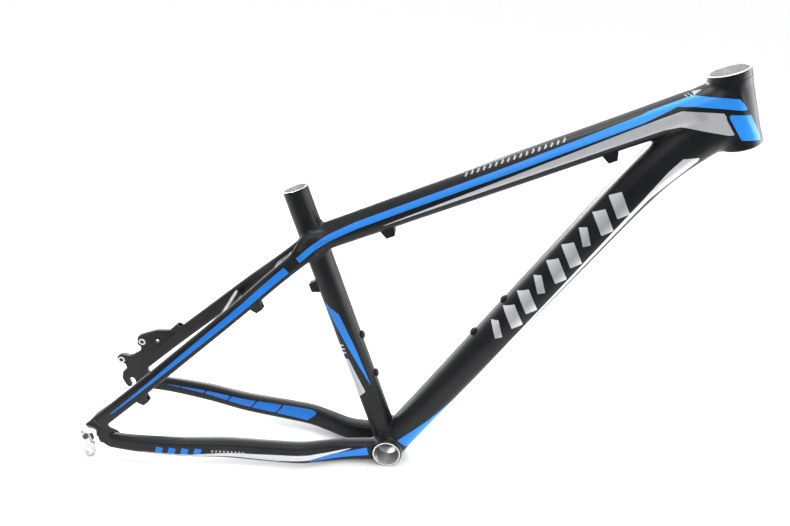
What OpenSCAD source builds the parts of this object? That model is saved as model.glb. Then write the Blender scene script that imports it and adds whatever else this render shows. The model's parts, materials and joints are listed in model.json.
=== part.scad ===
// Welded aluminium mountain bike frame for 26 inch wheels.
// Origin at the centre of the bottom bracket shell, +X forward, +Y to the rider's left, +Z up.
// The drive side is at -Y. The tubes are hollow and are mitred to the tubes that they meet.

/* [Frame geometry] */
// Seat tube angle above the horizontal, in degrees
seat_angle = 72.5; // [72:0.25:73.5]
// Seat tube length, from the bottom bracket centre to its top
seat_tube_len = 410; // [400:1:430]
// Head tube angle above the horizontal, in degrees
head_angle = 71.5; // [71:0.25:72]
// Head tube length
head_tube_len = 94; // [92:1:98]
// Horizontal distance from the bottom bracket to the top of the head tube
reach = 398; // [396:1:400]
// Height of the top of the head tube above the bottom bracket
stack = 553; // [550:1:556]
// Height of the rear axle above the bottom bracket
axle_rise = 38; // [36:1:40]
// Horizontal distance from the bottom bracket back to the rear axle
axle_setback = 416; // [414:1:418]

/* [Main tubes] */
// Outer diameter of the seat tube
seat_tube_od = 35.2; // [35:0.1:36]
// Diameter of the turned seat for the post clamp, at the top of the seat tube
clamp_seat_d = 34.9; // [34.6:0.1:34.9]
// Length of the turned seat for the post clamp
clamp_seat_len = 22; // [18:1:26]
// Depth to which the seat tube is reamed for the post
post_depth = 200; // [180:5:220]
// Seat post diameter, the reamed bore of the seat tube
seat_post_d = 31.6; // [30.9:0.1:31.6]
// Distance from the top of the seat tube down to the top tube's axis
top_tube_drop = 74; // [72:1:76]
// Distance from the top of the head tube down to the top tube's axis
top_tube_head_drop = 29; // [28:1:30]
// Angle of the straight part of the down tube, in degrees
down_tube_angle = 53.3; // [53:0.1:53.6]
// Length of the straight part of the down tube
down_tube_straight = 490; // [485:1:495]
// Wall thickness of the top tube and the down tube
main_wall = 2; // [1.6:0.1:2.4]
// Wall thickness of the stays
stay_wall = 1.8; // [1.5:0.1:2.2]

/* [Head tube] */
// Radius of the two headset cup bores
cup_bore_r = 22; // [21.9:0.05:22.1]
// Depth of each cup bore
cup_bore_depth = 15; // [12:1:18]
// Outer radius of the upper and lower rings
head_rim_r = 24.4; // [24:0.1:25]
// Outer radius of the waist between the rings
head_waist_r = 23.6; // [23.2:0.1:24]

/* [Bottom bracket] */
// Width of the shell across its two faces
shell_w = 68; // [68:5:73]
// Outer radius of the shell
shell_r = 21.5; // [20.5:0.1:22]
// Radius of the threaded bore
shell_bore_r = 17.4; // [17.2:0.1:17.6]

/* [Rear end] */
// Distance between the inner faces of the dropouts
dropout_gap = 135; // [135:1:137]
// Thickness of the dropout plates
dropout_t = 6.5; // [6:0.5:7]
// Width of the axle slots
axle_slot_w = 10.2; // [10:0.1:10.4]
// Distance from the centre plane to the middle of each stay's rear end
stay_rear_y = 76; // [75:0.5:77]
// Distance between the two disc brake bolts
disc_bolt_pitch = 51; // [51:0.1:51.2]
// Radius of the derailleur bolt's thread
derailleur_r = 5; // [4.8:0.1:5]

/* [Small parts] */
// Distance between the two bosses of each bottle cage
bottle_pitch = 64; // [64:0.5:65]
// Radius of the bottle boss threads
boss_r = 2.5; // [2.1:0.1:2.5]
// Radius of the bottle boss flanges
boss_flange_r = 6; // [5.5:0.1:6.5]
// Radius of the cable channels
cable_r = 2.6; // [2.2:0.1:2.8]

/* [Hidden] */
$fn = 64;
tube_sides = 20;
main_rings = 24;
chainstay_rings = 30;
seatstay_rings = 20;
prong_rings = 6;
slip = 0.01;

// Directions and points that the tubes share
seat_dir = [-cos(seat_angle), 0, sin(seat_angle)];
head_dir = [-cos(head_angle), 0, sin(head_angle)];
down_dir = [cos(down_tube_angle), 0, sin(down_tube_angle)];
down_up = [-sin(down_tube_angle), 0, cos(down_tube_angle)];
head_top = [reach, 0, stack];
head_bottom = head_top - head_tube_len * head_dir;
seat_joint = (seat_tube_len - top_tube_drop) * seat_dir;
head_joint = head_top - top_tube_head_drop * head_dir;
top_run = head_joint - seat_joint;
top_dir = top_run / norm(top_run);
top_up = [-top_dir.z, 0, top_dir.x];
down_start = [5, 0, 0];
axle = [-axle_setback, 0, axle_rise];
seat_tube_r = seat_tube_od / 2;
clamp_taper = 2;
dropout_y = dropout_gap / 2;

// Middle of each pair of bottle bosses along its tube, and the tube's surface there
down_boss_along = 253;
down_boss_lift = 23.8;
seat_boss_height = 149.5;
boss_shank_r = boss_r + 1.3;
boss_shank_len = 5;

// Places on the dropouts, from the axle with X forward and Y up
disc_upper = [25.5, 71.5];
disc_lower = disc_upper - disc_bolt_pitch * [cos(42.2), sin(42.2)];
hanger_bolt_at = [-9, -1];
derailleur_at = [-8, -27.5];
hanger_t = 5;
hanger_bolt_r = 2.6;
bush_r = 4;
disc_bolt_r = 3.05;

// Steps in each rounded corner of the dropouts' outlines
corner_steps = 5;

// Shares of the top tube's run at which its two cable guides stand, and the depth of its surface there
front_guide_share = 0.72;
front_guide_drop = 19.6;
rear_guide_share = 0.183;
rear_guide_drop = 18.6;
// Height of the cable guide up the seat tube
seat_guide_height = 270;

// Where the top tube and the down tube meet behind the head tube, and the slope of their mitre
mitre_point = [315, 0, 459.5];
mitre_angle = 29;
// Size of the block that stands for each side of the mitre
mitre_len = 1200;
mitre_w = 120;
mitre_h = 300;

// A station is [x, y, z, depth, width, squareness, pinch]. Depth is across the tube in the frame's
// plane and width is across it sideways. Squareness 2 is an ellipse. Pinch narrows the upper half.
function top_station(s, depth, width, squareness, pinch) =
    concat(seat_joint + s * top_run, [depth, width, squareness, pinch]);
function down_station(along, depth, width) =
    concat(down_start + along * down_dir, [depth, width, 2.5, 0]);

top_keys = [
    top_station(0, 36, 46, 2.8, 0.5),
    top_station(0.1, 37, 43, 2.7, 0.42),
    top_station(0.25, 39, 40, 2.6, 0.25),
    top_station(0.5, 40, 40, 2.5, 0.1),
    top_station(0.75, 40, 42, 2.5, 0),
    top_station(0.9, 41, 46, 2.5, 0),
    top_station(1, 42, 46, 2.5, 0)
];

down_keys = [
    down_station(0, 43, 52),
    down_station(95, 43.5, 50),
    down_station(220, 46.5, 48),
    down_station(355, 49.5, 47),
    down_station(down_tube_straight, 52, 46),
    [338, 0, 441, 55, 46, 2.5, 0],
    [380, 0, 480, 62, 46, 2.5, 0],
    concat(head_top - 50 * head_dir, [66, 46, 2.5, 0])
];

// Seen from the side, a chainstay falls straight from its rear end to the height of the bottom
// bracket's axis, and runs level from there. A seatstay is straight from its rear end to the yoke.
chainstay_rear = [-391, 32];
chainstay_level_x = -65;
seatstay_rear = [-403, 61];
seatstay_yoke = [-124, 296];
function chainstay_height(x) =
    max(0, chainstay_rear[1] * (chainstay_level_x - x) / (chainstay_level_x - chainstay_rear.x));
function seatstay_height(x) =
    seatstay_rear[1] + (x - seatstay_rear.x) * (seatstay_yoke[1] - seatstay_rear[1])
        / (seatstay_yoke.x - seatstay_rear.x);

// Stations of the left stays, by their place along the frame, their middle sideways, and their size
function chainstay_station(x, y, depth, width) = [x, y, chainstay_height(x), depth, width, 3, 0];
function seatstay_station(x, y, depth, width) = [x, y, seatstay_height(x), depth, width, 2.6, 0];

chainstay_keys = [
    chainstay_station(chainstay_rear.x, stay_rear_y, 22, 15),
    chainstay_station(-350, stay_rear_y, 24, 16),
    chainstay_station(-290, 70, 27, 19),
    chainstay_station(-230, 58.5, 29, 20),
    chainstay_station(-170, 53, 31, 20),
    chainstay_station(-125, 48, 32, 20),
    chainstay_station(-95, 38, 32, 20),
    chainstay_station(-60, 25.5, 31, 22),
    chainstay_station(-10, 20, 30, 24)
];
seatstay_keys = [
    seatstay_station(seatstay_rear.x, stay_rear_y, 21, 15),
    seatstay_station(-340, 72, 21, 16),
    seatstay_station(-280, 62, 21, 17),
    seatstay_station(-225, 53, 21, 17),
    seatstay_station(-190, 45.5, 21, 17),
    seatstay_station(-155, 32, 22, 17),
    seatstay_station(seatstay_yoke.x, 26, 23, 17)
];
prong_keys = [
    seatstay_station(seatstay_yoke.x, 26, 23, 17),
    [-112, 24, 308, 28, 15, 2.7, 0],
    [-101, 20, 319, 32, 11, 2.6, 0]
];

// ---------- Lofted tubes ----------

// Catmull-Rom curve through the stations, t from 0 to the last index
function spline(keys, t) =
    let (last = len(keys) - 1,
        i = max(min(floor(t), last - 1), 0),
        f = t - i,
        a = keys[max(i - 1, 0)],
        b = keys[i],
        c = keys[i + 1],
        d = keys[min(i + 2, last)])
    (2 * b + (c - a) * f + (2 * a - 5 * b + 4 * c - d) * f * f + (3 * b - a - 3 * c + d) * f * f * f) / 2;

function place_of(station) = [station.x, station.y, station.z];
function unit(v) = v / norm(v);
function tangent(keys, t) =
    unit(place_of(spline(keys, min(t + 0.05, len(keys) - 1))) - place_of(spline(keys, max(t - 0.05, 0))));
function side_of(along) = unit([0, 1, 0] - along.y * along);

// Signed power, for the superellipse
function spow(v, p) = sign(v) * pow(abs(v), p);
// 0 below the shoulder of a section and 1 at its top
function upper_half(v) = v <= -0.1 ? 0 : pow(sin(min((v + 0.1) / 0.6, 1) * 90), 2);

// One ring of points of the section at t, drawn in by inset on every side
function ring(keys, t, inset) =
    let (s = spline(keys, t),
        along = tangent(keys, t),
        side = side_of(along),
        up = cross(along, side),
        half_w = s[4] / 2 - inset,
        half_d = s[3] / 2 - inset)
    [for (i = [0:tube_sides - 1])
        let (a = 360 * i / tube_sides,
            v = spow(sin(a), 2 / s[5]),
            u = spow(cos(a), 2 / s[5]) * (1 - s[6] * upper_half(v / 2)))
        place_of(s) + side * half_w * u + up * half_d * v];

// Hollow tube through the stations. A capped tube is closed at its first station.
module loft_tube(keys, wall, rings, capped = false) {
    last = len(keys) - 1;
    cap_t = capped ? 0.05 : 0;
    outer = [for (i = [0:rings]) ring(keys, last * i / rings, 0)];
    inner = [for (i = [0:rings]) ring(keys, cap_t + (last - cap_t) * i / rings, wall)];
    points = [for (r = concat(outer, inner)) each r];
    n = tube_sides;
    inner_start = (rings + 1) * n;
    skin = [for (i = [0:rings - 1], j = [0:n - 1])
        let (a = i * n + j, b = i * n + (j + 1) % n)
        each [[a, b + n, b], [a, a + n, b + n]]];
    lining = [for (f = skin) [f[0] + inner_start, f[2] + inner_start, f[1] + inner_start]];
    end = rings * n;
    far_rim = [for (j = [0:n - 1])
        let (a = end + j, b = end + (j + 1) % n)
        each [[a, b + inner_start, b], [a, a + inner_start, b + inner_start]]];
    near_rim = [for (j = [0:n - 1])
        let (a = j, b = (j + 1) % n)
        each [[a, b, b + inner_start], [a, b + inner_start, a + inner_start]]];
    caps = [[for (j = [0:n - 1]) j], [for (j = [n - 1:-1:0]) j + inner_start]];
    polyhedron(points, concat(skin, lining, far_rim, capped ? caps : near_rim));
}

// Solid bar through the stations
module loft_bar(keys, rings) {
    last = len(keys) - 1;
    n = tube_sides;
    points = [for (i = [0:rings]) each ring(keys, last * i / rings, 0)];
    skin = [for (i = [0:rings - 1], j = [0:n - 1])
        let (a = i * n + j, b = i * n + (j + 1) % n)
        each [[a, b + n, b], [a, a + n, b + n]]];
    caps = [[for (j = [0:n - 1]) j], [for (j = [n - 1:-1:0]) j + rings * n]];
    polyhedron(points, concat(skin, caps));
}

// ---------- Places ----------

// Puts a child's +Z along a direction in the frame's plane that is tilted back by 90 - angle
module along_axis(start, angle) {
    translate(start) rotate([0, angle - 90, 0]) children();
}

// Puts a child's +X along the tube and its +Z across it, for a tube that rises at this angle
module on_tube(point, angle) {
    translate(point) rotate([0, -angle, 0]) children();
}

// Mirrors the left side's child to the drive side
module drive_side() {
    mirror([0, 1, 0]) children();
}

// ---------- Envelopes, which the tubes are mitred to ----------

module head_tube_envelope() {
    along_axis(head_bottom, head_angle) rotate_extrude() polygon([
        [0, 0],
        [head_rim_r - 1.5, 0],
        [head_rim_r, 1.5],
        [head_rim_r, 8],
        [head_waist_r, 18],
        [head_waist_r, head_tube_len - 20],
        [head_rim_r, head_tube_len - 10],
        [head_rim_r, head_tube_len - 0.8],
        [head_rim_r - 0.8, head_tube_len],
        [0, head_tube_len]
    ]);
}

module seat_tube_envelope() {
    clamp_z = seat_tube_len - clamp_seat_len;
    along_axis([0, 0, 0], seat_angle) {
        cylinder(h = clamp_z - clamp_taper, r = seat_tube_r);
        translate([0, 0, clamp_z - clamp_taper])
            cylinder(h = clamp_taper, r1 = seat_tube_r, r2 = clamp_seat_d / 2);
        translate([0, 0, clamp_z]) cylinder(h = clamp_seat_len, r = clamp_seat_d / 2);
    }
}

module shell_envelope() {
    rotate([90, 0, 0]) cylinder(h = shell_w, r = shell_r, center = true);
}

// Everything above the mitre between the top tube and the down tube
module above_mitre() {
    on_tube(mitre_point, mitre_angle) translate([-mitre_len / 2, -mitre_w / 2, 0])
        cube([mitre_len, mitre_w, mitre_h]);
}

module below_mitre() {
    on_tube(mitre_point, mitre_angle) translate([-mitre_len / 2, -mitre_w / 2, -mitre_h])
        cube([mitre_len, mitre_w, mitre_h]);
}

// ---------- Main tubes ----------

module head_tube() {
    groove_h = 0.8;
    color("#1e1f21") difference() {
        head_tube_envelope();
        along_axis(head_bottom, head_angle) {
            translate([0, 0, -1]) cylinder(h = head_tube_len + 2, r = cup_bore_r - 0.7);
            translate([0, 0, -1]) cylinder(h = cup_bore_depth + 1, r = cup_bore_r);
            translate([0, 0, head_tube_len - cup_bore_depth]) cylinder(h = cup_bore_depth + 1, r = cup_bore_r);
            translate([0, 0, head_tube_len - 9]) difference() {
                cylinder(h = groove_h, r = head_rim_r + 1);
                translate([0, 0, -1]) cylinder(h = groove_h + 2, r = head_rim_r - 0.4);
            }
        }
    }
}

module top_tube() {
    color("#1e1f21") difference() {
        loft_tube(top_keys, main_wall, main_rings);
        head_tube_envelope();
        seat_tube_envelope();
        below_mitre();
    }
}

module down_tube() {
    color("#1e1f21") difference() {
        loft_tube(down_keys, main_wall, main_rings);
        head_tube_envelope();
        seat_tube_envelope();
        shell_envelope();
        above_mitre();
        at_down_bosses() boss_hole();
    }
}

module seat_tube() {
    slot_w = 3;
    slot_len = 28;
    color("#1e1f21") difference() {
        seat_tube_envelope();
        shell_envelope();
        along_axis([0, 0, 0], seat_angle) {
            translate([0, 0, -1]) cylinder(h = seat_tube_len - post_depth + 1, r = seat_post_d / 2 + 0.2);
            translate([0, 0, seat_tube_len - post_depth]) cylinder(h = post_depth + 1, r = seat_post_d / 2);
            translate([-seat_tube_r - 1, -slot_w / 2, seat_tube_len - slot_len])
                cube([seat_tube_r, slot_w, slot_len + 1]);
            translate([-seat_tube_r - 1, 0, seat_tube_len - slot_len])
                rotate([0, 90, 0]) cylinder(h = seat_tube_r, r = slot_w);
        }
        at_seat_bosses() boss_hole();
    }
}

module bottom_bracket_shell() {
    half = shell_w / 2;
    chamfer = 0.9;
    lead_in = 0.6;
    color("#1e1f21") rotate([90, 0, 0]) rotate_extrude() polygon([
        [shell_bore_r, -half + lead_in],
        [shell_bore_r + lead_in, -half],
        [shell_r - chamfer, -half],
        [shell_r, -half + chamfer],
        [shell_r, half - chamfer],
        [shell_r - chamfer, half],
        [shell_bore_r + lead_in, half],
        [shell_bore_r, half - lead_in]
    ]);
}

// ---------- Stays ----------

module chainstay_left() {
    color("#1e1f21") difference() {
        loft_tube(chainstay_keys, stay_wall, chainstay_rings, capped = true);
        shell_envelope();
        seat_tube_envelope();
        dropout_left_plate();
    }
}

module chainstay_right() {
    color("#1e1f21") difference() {
        drive_side() loft_tube(chainstay_keys, stay_wall, chainstay_rings, capped = true);
        shell_envelope();
        seat_tube_envelope();
        dropout_right_plate();
    }
}

module seatstay_left() {
    color("#1e1f21") difference() {
        loft_tube(seatstay_keys, stay_wall, seatstay_rings, capped = true);
        dropout_left_plate();
        loft_bar(prong_keys, prong_rings);
    }
}

module seatstay_right() {
    color("#1e1f21") difference() {
        drive_side() loft_tube(seatstay_keys, stay_wall, seatstay_rings, capped = true);
        dropout_right_plate();
        drive_side() loft_bar(prong_keys, prong_rings);
    }
}

// Solid forged prong that carries the seatstay round the side of the seat tube
module yoke_prong_left() {
    color("#1e1f21") difference() {
        loft_bar(prong_keys, prong_rings);
        seat_tube_envelope();
        loft_bar(top_keys, main_rings);
    }
}

module yoke_prong_right() {
    drive_side() yoke_prong_left();
}

// Plate between the two seatstays, behind the seat tube
module seatstay_gusset() {
    stay_angle = 40;
    plate_len = 28;
    plate_w = 52;
    plate_t = 6;
    vent_r = 3;
    color("#1e1f21") difference() {
        on_tube([-145, 0, 283], stay_angle) difference() {
            cube([plate_len, plate_w, plate_t], center = true);
            translate([3, 0, 0]) cylinder(h = plate_t + 2, r = vent_r, center = true);
        }
        loft_bar(seatstay_keys, seatstay_rings);
        drive_side() loft_bar(seatstay_keys, seatstay_rings);
    }
}

// Round tube between the two seatstays, above the wheel
module seatstay_bridge() {
    bridge_r = 6;
    bridge_wall = 1.5;
    bridge_w = 100;
    color("#1e1f21") difference() {
        translate([-224, 0, 213]) rotate([90, 0, 0]) difference() {
            cylinder(h = bridge_w, r = bridge_r, center = true);
            cylinder(h = bridge_w + 1, r = bridge_r - bridge_wall, center = true);
        }
        loft_bar(seatstay_keys, seatstay_rings);
        drive_side() loft_bar(seatstay_keys, seatstay_rings);
    }
}

// ---------- Dropouts ----------

// Rounds the corners of an outline. Each corner is [x, y, radius].
function rounded(corners) = [for (i = [0:len(corners) - 1]) each rounded_corner(
    corners[i],
    corners[(i + len(corners) - 1) % len(corners)],
    corners[(i + 1) % len(corners)])];

function rounded_corner(corner, before, after) =
    let (
        c = [corner.x, corner.y],
        to_before = unit([before.x, before.y] - c),
        to_after = unit([after.x, after.y] - c),
        half = acos(to_before * to_after) / 2,
        centre = c + unit(to_before + to_after) * corner.z / sin(half),
        from = c + to_before * corner.z / tan(half) - centre,
        turn = (180 - 2 * half) * sign(to_after.x * to_before.y - to_after.y * to_before.x),
        start = atan2(from.y, from.x)
    )
    [for (k = [0:corner_steps]) centre + corner.z * [
        cos(start + turn * k / corner_steps),
        sin(start + turn * k / corner_steps)]];

// Axle slot, open downward and a little forward. Its sides stand just inside the round seat.
module axle_slot(run) {
    mouth_w = axle_slot_w - 0.1;
    circle(r = axle_slot_w / 2);
    rotate(12) translate([-mouth_w / 2, -run]) square([mouth_w, run]);
}

// Extrudes a drawing, made from the axle with X forward and Y up, from y0 to y0 + t
module plate(y0, t) {
    translate([axle.x, y0 + t, axle.z]) rotate([90, 0, 0]) linear_extrude(t) children();
}

// Hook behind the axle, tongues into both stays, and the brake tab above the seatstay
module dropout_left_plate() {
    outline = [
        [-7.5, -12.5, 2.4],
        [0, -10.5, 1],
        [10, -10, 3],
        [36, -14, 9],
        [45, -4, 8],
        [42, 10, 8],
        [26, 15, 6],
        [31, 30, 8],
        [62, 58, 10],
        [78, 82, 6],
        [77, 95, 5],
        [52, 92.5, 25],
        [33, 86, 14],
        [19, 80.5, 6],
        [17, 66, 5],
        [22.5, 63, 3],
        [21.5, 55.5, 6],
        [4, 44.5, 9],
        [-8, 46.5, 5],
        [-19.5, 44, 6],
        [-18.5, 32, 5],
        [-7.5, 30.5, 3],
        [-5, 21, 5],
        [-13, 16, 6],
        [-15.5, 3, 9],
        [-11.5, -7, 8]
    ];
    plate(dropout_y, dropout_t) difference() {
        polygon(rounded(outline));
        axle_slot(16);
        translate(disc_upper) circle(r = bush_r);
        translate(disc_lower) circle(r = bush_r);
        polygon(rounded([[44, 73, 0.8], [49, 70.5, 2], [54.5, 73, 2], [50.5, 77.5, 2]]));
    }
}

module dropout_left() {
    color("#1e1f21") dropout_left_plate();
}

// Bushes that line the two disc brake bolt holes, with faced flanges
module disc_mount_bushes() {
    face_t = 1;
    color("silver") for (p = [disc_upper, disc_lower]) {
        plate(dropout_y, dropout_t) difference() {
            translate(p) circle(r = bush_r - slip);
            translate(p) circle(r = disc_bolt_r);
        }
        for (y = [dropout_y - face_t, dropout_y + dropout_t]) plate(y, face_t) difference() {
            translate(p) circle(r = 5.5);
            translate(p) circle(r = disc_bolt_r);
        }
    }
}

module dropout_right_plate() {
    outline = [
        [-6.5, -12, 2.4],
        [0, -10.5, 1],
        [7.5, -13, 2],
        [13, -15, 5],
        [20, -21, 5],
        [36, -20, 8],
        [41, -8, 8],
        [34, 4, 8],
        [19, 11, 5],
        [41, 42, 7],
        [33, 52, 7],
        [8, 33, 7],
        [-3, 20, 10],
        [-12.5, 13, 6],
        [-14.5, 2, 8],
        [-11, -7, 8]
    ];
    plate(-dropout_y - dropout_t, dropout_t) difference() {
        polygon(rounded(outline));
        axle_slot(16);
        translate(hanger_bolt_at) circle(r = hanger_bolt_r);
    }
}

module dropout_right() {
    color("#1e1f21") dropout_right_plate();
}

// Replaceable hanger, bolted to the outside of the drive side dropout
module derailleur_hanger() {
    outline = [
        [7.5, -1.5, 1.6],
        [8.5, 12.5, 4],
        [-12.5, 16, 5],
        [-17, 7, 6],
        [-17, -6, 7],
        [-12, -13, 9],
        [-17, -24, 7],
        [-15.5, -35.5, 7],
        [-0.5, -35.5, 7],
        [0.5, -24, 9],
        [1.5, -13, 2.5],
        [-3, -10.5, 0.5],
        [1, -3, 0.5]
    ];
    color("silver") plate(-dropout_y - dropout_t - hanger_t, hanger_t) difference() {
        polygon(rounded(outline));
        axle_slot(11);
        translate(hanger_bolt_at) circle(r = hanger_bolt_r);
        translate([-13, 6]) circle(r = 1.5);
        translate(derailleur_at) circle(r = derailleur_r);
    }
}

module hanger_bolt() {
    head_h = 1.8;
    outer_y = -dropout_y - dropout_t - hanger_t;
    color("#303235") difference() {
        union() {
            plate(outer_y - head_h, head_h) translate(hanger_bolt_at) circle(r = 4);
            plate(outer_y, hanger_t + dropout_t) translate(hanger_bolt_at) circle(r = hanger_bolt_r - slip);
        }
        plate(outer_y - head_h - 1, 2.2) translate(hanger_bolt_at) circle(r = 1.6, $fn = 6);
    }
}

// ---------- Cable guides ----------

// Block with sloped ends and lengthwise channels. Its base lies on z = 0 and it stands towards +Z.
module guide(base_len, tip_len, height, width, channels, pitch) {
    difference() {
        rotate([90, 0, 0]) linear_extrude(width, center = true) polygon([
            [-base_len / 2, -2],
            [base_len / 2, -2],
            [base_len / 2, 0],
            [tip_len / 2, height],
            [-tip_len / 2, height],
            [-base_len / 2, 0]
        ]);
        for (i = [0:channels - 1])
            translate([-base_len, (i - (channels - 1) / 2) * pitch, height - cable_r - 1.6])
                rotate([0, 90, 0]) cylinder(h = 2 * base_len, r = cable_r);
    }
}

top_tube_angle = atan2(top_dir.z, top_dir.x);

module cable_guide_top_tube_front() {
    color("#1a1b1d") difference() {
        on_tube(seat_joint + front_guide_share * top_run - front_guide_drop * top_up, top_tube_angle)
            mirror([0, 0, 1]) guide(19, 11, 9.5, 24, 3, 7.5);
        loft_bar(top_keys, main_rings);
    }
}

module cable_guide_top_tube_rear() {
    color("#1a1b1d") difference() {
        on_tube(seat_joint + rear_guide_share * top_run - rear_guide_drop * top_up, top_tube_angle)
            mirror([0, 0, 1]) guide(19, 12, 10.5, 24, 3, 7.5);
        loft_bar(top_keys, main_rings);
    }
}

module cable_guide_seat_tube() {
    color("#1a1b1d") difference() {
        along_axis(seat_guide_height * seat_dir, seat_angle) translate([-seat_tube_r + 0.5, 0, 0])
            rotate([0, -90, 0]) guide(18, 12, 11, 10, 1, 0);
        seat_tube_envelope();
    }
}

// Guide under the drive side seatstay, at t along its stations
module seatstay_guide(t, height) {
    s = spline(seatstay_keys, t);
    along = tangent(seatstay_keys, t);
    drive_side() difference() {
        translate(place_of(s)) rotate([0, -asin(along.z), 0]) rotate([0, 0, 9])
            translate([0, 0, -s[3] / 2 + 0.6]) mirror([0, 0, 1]) guide(20, 11, height, 9, 1, 0);
        loft_bar(seatstay_keys, seatstay_rings);
    }
}

module cable_guide_seatstay_upper() {
    color("#1a1b1d") seatstay_guide(4.25, 10);
}

module cable_guide_seatstay_lower() {
    color("#1a1b1d") seatstay_guide(0.95, 10);
}

// Low clip for the rear brake hose, on top of the left seatstay
module hose_guide_seatstay() {
    t = 1.25;
    s = spline(seatstay_keys, t);
    along = tangent(seatstay_keys, t);
    color("#1a1b1d") difference() {
        translate(place_of(s)) rotate([0, -asin(along.z), 0]) rotate([0, 0, -9])
            translate([0, 0, s[3] / 2 - 0.8]) guide(20, 13, 7, 10, 1, 0);
        loft_bar(seatstay_keys, seatstay_rings);
    }
}

// ---------- Bottle bosses ----------

// Threaded boss with a domed flange, standing on z = 0, and a shank that reaches below it
module bottle_boss() {
    rotate_extrude() polygon([
        [boss_r, -boss_shank_len],
        [boss_shank_r - slip, -boss_shank_len],
        [boss_shank_r - slip, 0],
        [boss_flange_r, 0],
        [boss_flange_r, 1.8],
        [boss_flange_r - 1.8, 3.6],
        [boss_r + 0.4, 3.6],
        [boss_r, 3.2]
    ]);
}

module boss_hole() {
    translate([0, 0, -boss_shank_len - 1]) cylinder(h = boss_shank_len + 2, r = boss_shank_r);
}

module at_down_bosses() {
    for (end = [-1, 1])
        on_tube(down_start + (down_boss_along + end * bottle_pitch / 2) * down_dir + down_boss_lift * down_up,
            down_tube_angle) children();
}

module at_seat_bosses() {
    for (end = [-1, 1])
        along_axis((seat_boss_height + end * bottle_pitch / 2) * seat_dir, seat_angle)
            translate([seat_tube_r, 0, 0]) rotate([0, 90, 0]) children();
}

module bottle_bosses_down_tube() {
    color("#26272a") at_down_bosses() bottle_boss();
}

module bottle_bosses_seat_tube() {
    color("#26272a") at_seat_bosses() bottle_boss();
}

head_tube();
top_tube();
down_tube();
seat_tube();
bottom_bracket_shell();
chainstay_right();
chainstay_left();
seatstay_right();
seatstay_left();
yoke_prong_right();
yoke_prong_left();
seatstay_gusset();
seatstay_bridge();
dropout_right();
dropout_left();
disc_mount_bushes();
derailleur_hanger();
hanger_bolt();
cable_guide_top_tube_front();
cable_guide_top_tube_rear();
cable_guide_seat_tube();
cable_guide_seatstay_upper();
cable_guide_seatstay_lower();
hose_guide_seatstay();
bottle_bosses_down_tube();
bottle_bosses_seat_tube();
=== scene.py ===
import json
import math

import bmesh
import bpy
import numpy as np
from mathutils import Matrix, Vector


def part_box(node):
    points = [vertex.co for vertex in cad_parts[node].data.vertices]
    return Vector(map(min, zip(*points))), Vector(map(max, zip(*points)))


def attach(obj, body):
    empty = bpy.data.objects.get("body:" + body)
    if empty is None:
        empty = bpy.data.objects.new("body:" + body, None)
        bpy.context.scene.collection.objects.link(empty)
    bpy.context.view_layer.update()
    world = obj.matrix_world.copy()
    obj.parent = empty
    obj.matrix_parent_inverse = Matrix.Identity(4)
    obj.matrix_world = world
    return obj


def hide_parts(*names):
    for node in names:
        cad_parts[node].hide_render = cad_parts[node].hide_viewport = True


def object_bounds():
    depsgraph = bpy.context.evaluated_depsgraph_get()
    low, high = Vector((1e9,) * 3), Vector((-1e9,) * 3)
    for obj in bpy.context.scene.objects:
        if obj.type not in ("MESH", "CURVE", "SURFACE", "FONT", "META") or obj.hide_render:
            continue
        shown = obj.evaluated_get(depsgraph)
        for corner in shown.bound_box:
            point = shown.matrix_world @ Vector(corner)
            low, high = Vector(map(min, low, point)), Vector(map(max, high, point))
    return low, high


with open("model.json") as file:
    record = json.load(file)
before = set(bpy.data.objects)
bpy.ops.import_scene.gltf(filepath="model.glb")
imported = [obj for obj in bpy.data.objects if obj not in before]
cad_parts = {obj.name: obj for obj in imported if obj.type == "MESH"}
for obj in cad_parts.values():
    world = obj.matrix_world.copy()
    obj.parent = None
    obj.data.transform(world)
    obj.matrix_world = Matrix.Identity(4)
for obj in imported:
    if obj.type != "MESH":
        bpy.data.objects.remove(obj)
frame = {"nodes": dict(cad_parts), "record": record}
cad_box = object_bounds()

# The frame's lengths are in millimetres, and make_piece turns them into metres. The materials' bump
# distances and the stage are in metres.
MM = 0.001
FINE = 1.0

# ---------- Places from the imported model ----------

mounts = {m["name"]: m for m in frame["record"]["mounts"]}


def mount_at(name):
    return np.array(mounts[name]["pos_m"]) / MM


def mount_axis(name):
    return np.array(mounts[name]["axis"])


def mount_size(name, key):
    return mounts[name]["dims"][key]


def unit(v):
    v = np.asarray(v, float)
    return v / np.linalg.norm(v, axis=-1, keepdims=True)


seat_dir = mount_axis("seat_post_bore")
head_dir = mount_axis("headset_cup_upper")
down_up = mount_axis("bottle_mount_down_tube")
down_dir = np.array([down_up[2], 0, -down_up[0]])
cup_r = mount_size("headset_cup_upper", "r_mm")
cup_depth = mount_size("headset_cup_upper", "length_mm")
post_r = mount_size("seat_post_bore", "r_mm")
shell_bore_r = mount_size("bottom_bracket_thread", "r_mm")
clamp_r = mount_size("seat_clamp_seat", "r_mm")
clamp_len = mount_size("seat_clamp_seat", "length_mm")
head_top = mount_at("headset_cup_upper") + cup_depth / 2 * head_dir
head_bottom = mount_at("headset_cup_lower") - cup_depth / 2 * head_dir
head_len = np.linalg.norm(head_top - head_bottom)
seat_top = mount_at("seat_clamp_seat") + clamp_len / 2 * seat_dir
seat_len = np.linalg.norm(seat_top)
shell_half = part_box("bottom_bracket_shell")[1].y / MM
shell_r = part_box("bottom_bracket_shell")[1].x / MM
seat_r = 17.6
dropout_t = 6.5
# The seat tube's wall starts this far up from the bottom bracket, and its bore is bare metal this far down
seat_foot, seat_bare = 8, 180

# ---------- Lofted tubes ----------

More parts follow.
